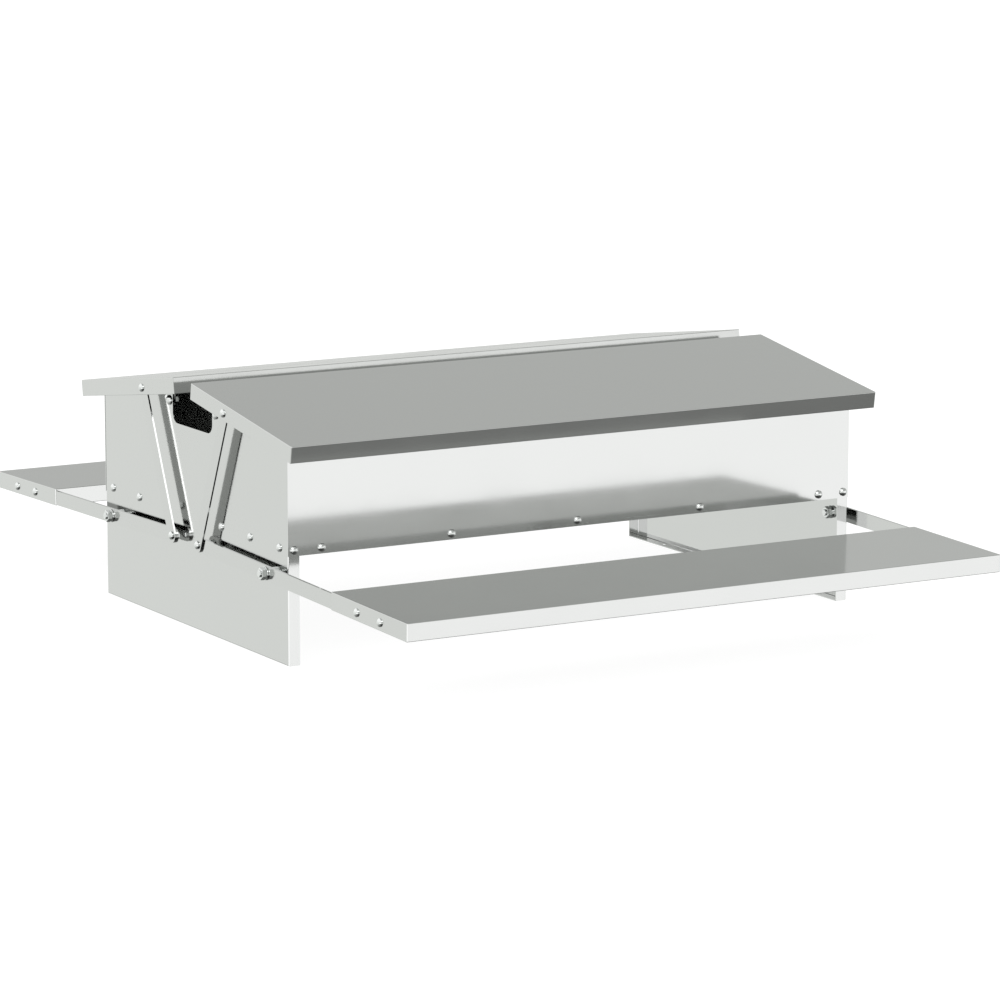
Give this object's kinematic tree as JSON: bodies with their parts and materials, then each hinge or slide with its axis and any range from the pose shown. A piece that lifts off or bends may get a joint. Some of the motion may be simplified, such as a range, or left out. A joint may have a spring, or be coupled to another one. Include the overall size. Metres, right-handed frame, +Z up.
{
  "type": "chicken feeder",
  "caption": "Double-sided poultry feeder folded from bright sheet steel: on each side a sloping lid is lifted by link bars when a bird steps on the treadle plate.",
  "frame": {"origin": "centre of the footprint on the ground, midway between all four sides", "axes": "+X to the right end, +Y to the back, +Z up; the front is -Y"},
  "size_m": [0.8114, 1.1014, 0.3015],
  "materials": {
    "folded_sheet": "bright rolled steel sheet, nearly a mirror",
    "flat_bar": "bright flat bar with cut edges",
    "fasteners": "bright plated fasteners"
  },
  "bodies": {
    "housing": {"left_end_panel": "folded_sheet", "right_end_panel": "folded_sheet", "front_wall": "folded_sheet", "back_wall": "folded_sheet", "feed_tray": "folded_sheet", "front_wall_screws": "fasteners", "back_wall_screws": "fasteners", "left_panel_screws": "fasteners", "right_panel_screws": "fasteners", "treadle_pivot_bolts": "fasteners", "treadle_pivot_washers": "fasteners", "treadle_pivot_spacers": "fasteners", "treadle_pivot_nuts": "fasteners", "lid_pivot_bolts": "fasteners", "lid_pivot_spacers": "fasteners", "lid_pivot_nuts": "fasteners"},
    "front_treadle": {"front_treadle_plate": "folded_sheet", "front_left_arm": "flat_bar", "front_right_arm": "flat_bar", "front_treadle_screws": "fasteners", "front_link_pins": "fasteners"},
    "front_cover": {"front_lid": "folded_sheet", "front_lid_brackets": "flat_bar", "front_lid_link_screws": "fasteners"},
    "front_left_link_bar": {"front_left_link": "flat_bar"},
    "front_right_link_bar": {"front_right_link": "flat_bar"},
    "back_treadle": {"back_treadle_plate": "folded_sheet", "back_left_arm": "flat_bar", "back_right_arm": "flat_bar", "back_treadle_screws": "fasteners", "back_link_pins": "fasteners"},
    "back_cover": {"back_lid": "folded_sheet", "back_lid_brackets": "flat_bar", "back_lid_link_screws": "fasteners"},
    "back_left_link_bar": {"back_left_link": "flat_bar"},
    "back_right_link_bar": {"back_right_link": "flat_bar"}
  },
  "joints": [
    {"name": "front_treadle_pivot", "type": "hinge", "parent": "housing", "child": "front_treadle", "pos_m": [0, -0.209, 0.1046], "axis": [1, 0, 0], "range_deg": [0, 7.5]},
    {"name": "front_lid_pivot", "type": "hinge", "parent": "housing", "child": "front_cover", "pos_m": [0, -0.062, 0.26854], "axis": [-1, 0, 0], "range_deg": [0, 38.5]},
    {"name": "front_left_link_pivot", "type": "hinge", "parent": "front_treadle", "child": "front_left_link_bar", "pos_m": [-0.3975, -0.035, 0.10885], "axis": [-1, 0, 0], "range_deg": [0, 13.1]},
    {"name": "front_right_link_pivot", "type": "hinge", "parent": "front_treadle", "child": "front_right_link_bar", "pos_m": [0.3975, -0.035, 0.10885], "axis": [-1, 0, 0], "range_deg": [0, 13.1]},
    {"name": "back_treadle_pivot", "type": "hinge", "parent": "housing", "child": "back_treadle", "pos_m": [0, 0.209, 0.1046], "axis": [-1, 0, 0], "range_deg": [0, 7.5]},
    {"name": "back_lid_pivot", "type": "hinge", "parent": "housing", "child": "back_cover", "pos_m": [0, 0.062, 0.26854], "axis": [1, 0, 0], "range_deg": [0, 38.5]},
    {"name": "back_left_link_pivot", "type": "hinge", "parent": "back_treadle", "child": "back_left_link_bar", "pos_m": [-0.3975, 0.035, 0.10885], "axis": [1, 0, 0], "range_deg": [0, 13.1]},
    {"name": "back_right_link_pivot", "type": "hinge", "parent": "back_treadle", "child": "back_right_link_bar", "pos_m": [0.3975, 0.035, 0.10885], "axis": [1, 0, 0], "range_deg": [0, 13.1]}
  ],
  "couplings": [
    {"joint": "front_lid_pivot", "follows": "front_treadle_pivot", "ratio": 5.12},
    {"joint": "front_left_link_pivot", "follows": "front_treadle_pivot", "ratio": 1.737},
    {"joint": "front_right_link_pivot", "follows": "front_treadle_pivot", "ratio": 1.737},
    {"joint": "back_lid_pivot", "follows": "back_treadle_pivot", "ratio": 5.12},
    {"joint": "back_left_link_pivot", "follows": "back_treadle_pivot", "ratio": 1.737},
    {"joint": "back_right_link_pivot", "follows": "back_treadle_pivot", "ratio": 1.737}
  ]
}
